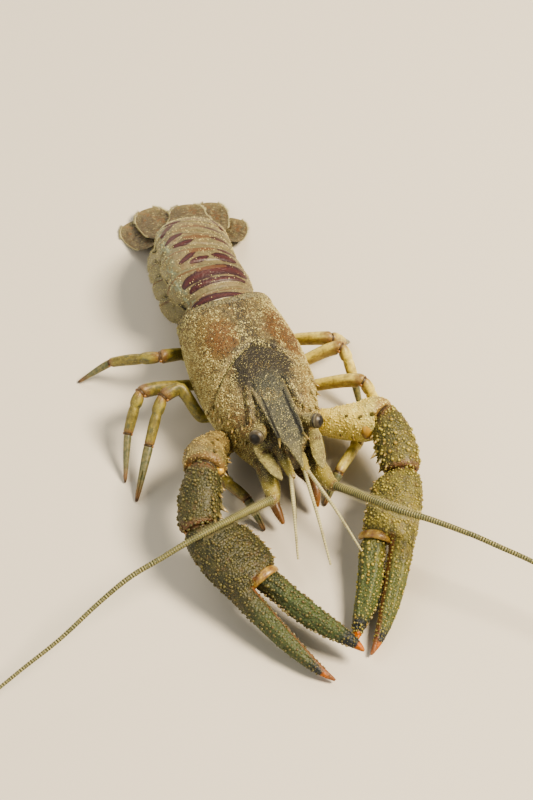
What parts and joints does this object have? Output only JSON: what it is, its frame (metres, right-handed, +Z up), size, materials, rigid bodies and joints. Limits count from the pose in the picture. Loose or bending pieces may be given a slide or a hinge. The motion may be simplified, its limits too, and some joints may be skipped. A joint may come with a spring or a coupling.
{
  "type": "crayfish",
  "caption": "Life-size still model of a freshwater crayfish standing on the floor with its claws forward and its tail fan spread",
  "frame": {"origin": "middle of the bounding box's underside, on the floor", "axes": "+Z up from the floor, -Y where the head points, +X the animal's left"},
  "size_m": [0.1374, 0.1636, 0.0224],
  "materials": {
    "olive_shell": "painted, speckled",
    "tail_shell": "painted, banded",
    "fan_shell": "painted, thin",
    "claw_shell": "painted, bumpy",
    "limb_shell": "painted, satin",
    "feeler_shell": "painted, ringed",
    "mouth_shell": "painted, satin",
    "eye_black": "polished"
  },
  "bodies": {
    "root": {"carapace": "olive_shell", "abdomen_1": "tail_shell", "abdomen_2": "tail_shell", "abdomen_3": "tail_shell", "abdomen_4": "tail_shell", "abdomen_5": "tail_shell", "abdomen_6": "tail_shell", "telson": "fan_shell", "paddle_inner_right": "fan_shell", "paddle_inner_left": "fan_shell", "paddle_outer_right": "fan_shell", "paddle_outer_left": "fan_shell", "eye_right": "eye_black", "eye_left": "eye_black", "leg_2_right_thigh": "limb_shell", "leg_2_right_shin": "limb_shell", "leg_2_right_toe": "limb_shell", "leg_3_right_thigh": "limb_shell", "leg_3_right_shin": "limb_shell", "leg_3_right_toe": "limb_shell", "leg_4_right_thigh": "limb_shell", "leg_4_right_shin": "limb_shell", "leg_4_right_toe": "limb_shell", "leg_5_right_thigh": "limb_shell", "leg_5_right_shin": "limb_shell", "leg_5_right_toe": "limb_shell", "leg_2_left_thigh": "limb_shell", "leg_2_left_shin": "limb_shell", "leg_2_left_toe": "limb_shell", "leg_3_left_thigh": "limb_shell", "leg_3_left_shin": "limb_shell", "leg_3_left_toe": "limb_shell", "leg_4_left_thigh": "limb_shell", "leg_4_left_shin": "limb_shell", "leg_4_left_toe": "limb_shell", "leg_5_left_thigh": "limb_shell", "leg_5_left_shin": "limb_shell", "leg_5_left_toe": "limb_shell", "claw_right_arm": "limb_shell", "claw_right_wrist": "claw_shell", "claw_right_palm": "claw_shell", "claw_right_finger": "claw_shell", "claw_left_arm": "limb_shell", "claw_left_wrist": "claw_shell", "claw_left_palm": "claw_shell", "claw_left_finger": "claw_shell", "feeler_right_1": "feeler_shell", "feeler_right_2": "feeler_shell", "feeler_stem_right": "feeler_shell", "small_feeler_right": "feeler_shell", "feeler_leaf_right": "feeler_shell", "mouth_leg_right": "mouth_shell", "feeler_left_1": "feeler_shell", "feeler_left_2": "feeler_shell", "feeler_stem_left": "feeler_shell", "small_feeler_left": "feeler_shell", "feeler_leaf_left": "feeler_shell", "mouth_leg_left": "mouth_shell"}
  },
  "joints": []
}
